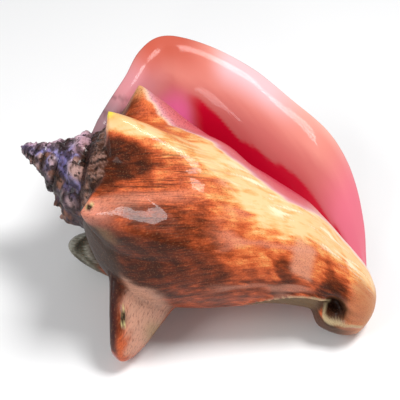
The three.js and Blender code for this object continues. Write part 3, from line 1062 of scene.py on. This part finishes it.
def measured(piece):
    """What the colours go by at every corner: its place on the shell, streaks, and distances."""
    names = ("turn", "past", "along", "horn", "seam", "inside", "rim", "pocket", "lump")
    at = {name: fact_values(piece, name).astype(float) for name in names}
    turn, past = at["turn"], at["past"]
    arc = turn * ROUND_MM
    at["skew"] = arc + past * GROWTH_SLANT
    at["wide_streaks"] = wide_streaks = grained(at["skew"], past, *WIDE_STREAKS)
    at["streaks"] = streaks = grained(at["skew"], past, *STREAKS)
    at["blot"] = blot = grained(arc, past, *BLOTS)
    at["mottle"] = clouds(piece, 0)
    at["patch"] = clouds(piece, 5)

    for name, (start, by_wide, by_streaks, by_blot) in WANDERING.items():
        at[name] = at[start] + by_wide * wide_streaks + by_streaks * streaks + by_blot * blot
    at["off_stain"] = turn - (STAIN_TURN + STAIN_LEAN * past)
    at["off_crest"] = np.abs(at["crest_turn"] - (CREST_TURN + CREST_LEAN * past))
    at["off_cream"] = np.abs(turn - CREAM_TURN)
    at["off_hole"] = np.minimum(*[off_spot(turn, past, *hole) for hole in HOLES])
    at["off_tip"] = off_spot(turn, past, *YELLOW_TIP)
    at["glaze_depth"] = keyed(past, GLAZE_EDGE) - at["glaze_turn"]
    # Edge of the crimson painted shade deep in the mouth
    deep = SHADED_CRIMSON_TURN + sum(step * rise(past, low, high) for step, low, high in SHADED_CRIMSON_STEPS)
    at["off_shaded_crimson"] = at["lining_turn"] - deep
    at["crease"] = np.cos(CREASES_PER_MM * past + CREASES_PER_TURN * turn + CREASE_WAVE * wide_streaks)
    return at


def band_tone(at):
    """How far the outer layer is from cream, through orange and rust, to umber at 1."""
    past = at["past"]
    width = keyed(past, BAND_WIDTH)
    off = at["band_turn"] - keyed(past, BAND_CORE)
    before = keyed(past, TONE_BEFORE_BAND) * rise(off, -width * BAND_LEAD, -width - BAND_FADE)
    tone = before + keyed(off - width, BAND_FALL)
    for amount, *limits in TONE_STEPS:
        tone = tone + amount * within({**at, "tone": tone}, limits)
    return np.minimum(tone, DARKEST_TONE) + BLOT_TONE * at["blot"]


def outside_tint(at):
    """What lies over the outer layer; its alpha is how much of that layer it hides."""
    glaze = graded(at["glaze_depth"], GLAZE_TINTS)
    mixed = {
        "glaze": blend(glaze, LOW_GLAZE, rise(at["past"], *LOW_GLAZE_PAST)),
        "crust": graded(at["streaks"], CRUST_TINTS),
        # Painted shade with green reflections on the fifth spine
        "green_sheen_in_shade": graded(at["streaks"], GREEN_SHEEN_IN_SHADE_TINTS),
    }
    tint = coated(np.zeros((len(at["turn"]), 4)), OUTSIDE_COATS, at, mixed)
    tint[:, :3] /= np.maximum(tint[:, 3:], 1e-6)
    return tint


def spire_tint(at):
    """Spire: paler pink above as painted light, blue-violet before, near black below as painted shade, brown
    crust, and black painted shade in the seams and in the hollows of its lumps.
    """
    mottle, patch = at["mottle"], at["patch"]
    way_round = (at["turn"] + 0.25) % 1 - 0.25
    # Painted light: paler pink on the upper side of the spire. Painted shade: near black on its lower side.
    above = rise(way_round + 0.12 * mottle, 0.2, 0.08) * rise(way_round, -0.25, -0.15)
    below = rise(way_round + 0.2 * patch, 0.22, 0.32)
    tint = blend(graded(mottle, SPIRE_TINTS), "#d9b0bf", 0.8 * above)
    tint = blend(tint, "#3a2d2b", 0.85 * below)
    tint = blend(tint, "#96644a", 0.7 * rise(patch, 0.15, 0.35) * (1 - 0.6 * above))
    tint = blend(tint, "#e6c0bc", 0.5 * rise(at["horn"], 0.4, 0.9) * rise(mottle, -0.4, 0.2))
    tint = blend(tint, "#17100f", 0.8 * rise(patch, -0.2, -0.4))
    # Painted shade in the hollows between the lumps
    tint = blend(tint, "#120c0b", 0.8 * rise(at["lump"], 0.05, -0.4))
    # Painted shade in the seams between whorls
    return blend(tint, "#120c0b", 0.8 * rise(at["seam"], 0.3, 0.9) * rise(mottle + 0.7 * below, -0.3, 0.3))


def inside_tint(at):
    """Porcelain glaze: salmon on the flared lip with a lilac-white painted sheen, and crimson deep in the
    mouth that is painted shade.
    """
    return coated(graded(at["lining_turn"], LIP_TINTS), LINING_COATS, at, {})


def colour_in(piece):
    """The broad colours, worked out corner by corner: a tone for the outer layer and a tint over it."""
    at = measured(piece)
    turn, past, outside = at["turn"], at["past"], 1 - at["inside"]
    tone = band_tone(at)
    tint = outside_tint(at)
    tint = blend(tint, spire_tint(at), rise(turn, *SPIRE_TINT_FADE))
    tint = blend(tint, inside_tint(at), at["inside"])
    patterns = {
        "tone": tone,
        "worn": np.maximum(spire_share(turn), crust_share(turn, past)) * outside,
        "lined": within(at, LINED) * (1 - tint[:, 3]),
        "gritty": rise(tone, *GRITTY_TONE) * outside,
        "skew": at["skew"],
    }
    for name, values in patterns.items():
        layer = piece.data.attributes.new(name, "FLOAT", "POINT")
        layer.data.foreach_set("value", values.astype(np.float32))
    layer = piece.data.attributes.new("tint", "FLOAT_COLOR", "POINT")
    layer.data.foreach_set("color", tint.astype(np.float32).ravel())


def make_shell_paint():
    """Conch aragonite, wet and shiny: a hard fine-grained shell under a clear coat of varnish."""
    material = bpy.data.materials.new("varnished_aragonite")
    material.use_nodes = True
    tree = material.node_tree
    shader = tree.nodes["Principled BSDF"]
    shader.inputs["Roughness"].default_value = 0.45
    shader.inputs["IOR"].default_value = 1.53
    shader.inputs["Specular IOR Level"].default_value = 0.1
    shader.inputs["Coat Weight"].default_value = 0.16
    shader.inputs["Coat Roughness"].default_value = 0.06

    facts = {}
    for name in ("tone", "worn", "lined", "gritty", "skew", "past", "inside"):
        facts[name] = add_node(tree, "ShaderNodeAttribute", attribute_name=name).outputs["Fac"]
    tint = add_node(tree, "ShaderNodeAttribute", attribute_name="tint").outputs
    place = add_node(tree, "ShaderNodeTexCoord").outputs["Object"]

    flat = add_node(tree, "ShaderNodeCombineXYZ", {"X": facts["skew"], "Y": facts["past"]}).outputs[0]
    fine = {}
    for name, stretch, detail in FINE_PATTERNS:
        scaled = add_node(tree, "ShaderNodeMapping", {"Vector": flat, "Scale": stretch}).outputs[0]
        fine[name] = add_node(
            tree,
            "ShaderNodeTexNoise",
            {"Vector": scaled, "Scale": 1.0, "Detail": detail, "Roughness": 0.62, "Distortion": 0.6},
        ).outputs["Fac"]

    wispy = {0: fine["wisps"], 1: WISP_SHARE, 2: facts["tone"]}
    wispy = add_node(tree, "ShaderNodeMath", wispy, operation="MULTIPLY_ADD").outputs[0]
    centred = {0: wispy, 1: WISP_SHARE / 2}
    centred = add_node(tree, "ShaderNodeMath", centred, operation="SUBTRACT").outputs[0]
    base = add_node(tree, "ShaderNodeValToRGB", {"Fac": centred})
    bar = base.color_ramp
    while len(bar.elements) < len(BAND_TINTS):
        bar.elements.new(1.0)
    for element, (position, colour) in zip(bar.elements, BAND_TINTS):
        element.position = position
        element.color = linear(colour)
    colour = base.outputs["Color"]
    hollows = {"Vector": place, "Scale": HOLLOWS_PER_M, "Detail": 4.0, "Roughness": 0.6}
    hollows = add_node(tree, "ShaderNodeTexNoise", hollows).outputs["Fac"]

    # The tint of the piece, growth lines, dark and light grain, and dark hollows of the worn spire: what
    # each goes by, where it may be, the values where it is none and full, its strength and its colour
    steps = (
        (tint["Alpha"], None, 0, 1, 1.0, tint["Color"]),
        (fine["lines"], facts["lined"], 0.52, 0.36, 0.7, "#280f06"),
        (fine["grain"], facts["gritty"], 0.5, 0.68, 0.45, "#5a2412"),
        (fine["grain"], facts["gritty"], 0.46, 0.32, 0.12, "#e8a070"),
        (hollows, facts["worn"], 0.47, 0.37, 0.85, "#0f0a09"),
    )
    for value, where, low, high, most, over in steps:
        share = add_node(
            tree,
            "ShaderNodeMapRange",
            {"Value": value, "From Min": low, "From Max": high, "To Max": most},
            interpolation_type="LINEAR" if over is tint["Color"] else "SMOOTHSTEP",
        ).outputs[0]
        if where is not None:
            share = add_node(tree, "ShaderNodeMath", {0: share, 1: where}, operation="MULTIPLY").outputs[0]
        over = linear(over) if isinstance(over, str) else over
        colour = add_node(tree, "ShaderNodeMix", {0: share, 6: colour, 7: over}, data_type="RGBA").outputs[2]
    tree.links.new(colour, shader.inputs["Base Color"])

    # Relief: pits and cut growth lines, nearly gone on the smooth lining
    pits = {"Vector": place, "Scale": PITS_PER_M, "Detail": 4.0}
    pits = add_node(tree, "ShaderNodeTexNoise", pits).outputs["Fac"]
    cuts = {0: fine["lines"], 1: facts["lined"]}
    cuts = add_node(tree, "ShaderNodeMath", cuts, operation="MULTIPLY").outputs[0]
    height = {0: cuts, 1: CUT_SHARE, 2: pits}
    height = add_node(tree, "ShaderNodeMath", height, operation="MULTIPLY_ADD").outputs[0]
    rough = {0: facts["inside"], 1: -LINING_SMOOTH_SHARE, 2: 1.0}
    rough = add_node(tree, "ShaderNodeMath", rough, operation="MULTIPLY_ADD").outputs[0]
    height = add_node(tree, "ShaderNodeMath", {0: height, 1: rough}, operation="MULTIPLY").outputs[0]
    relief = add_node(tree, "ShaderNodeBump", {"Height": height, "Strength": 0.4, "Distance": 0.001})
    tree.links.new(relief.outputs["Normal"], shader.inputs["Normal"])
    return material


def add_light(name, place, size, power):
    bpy.ops.object.light_add(type="AREA", location=place)
    lamp = bpy.context.object
    lamp.name = name
    lamp.data.size = size
    lamp.data.energy = power
    lamp.rotation_euler = (Vector(LAMP_AIM) - Vector(place)).to_track_quat("-Z", "Y").to_euler()


piece, apex = join_and_place(make_shell())
roughen(piece)
colour_in(piece)
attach(piece, "root")
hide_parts(NODE)
piece.data.materials.clear()
piece.data.materials.append(make_shell_paint())
make_stage()
for lamp in LAMPS:
    add_light(*lamp)
make_camera(apex)
bpy.context.scene.view_settings.view_transform = "Standard"
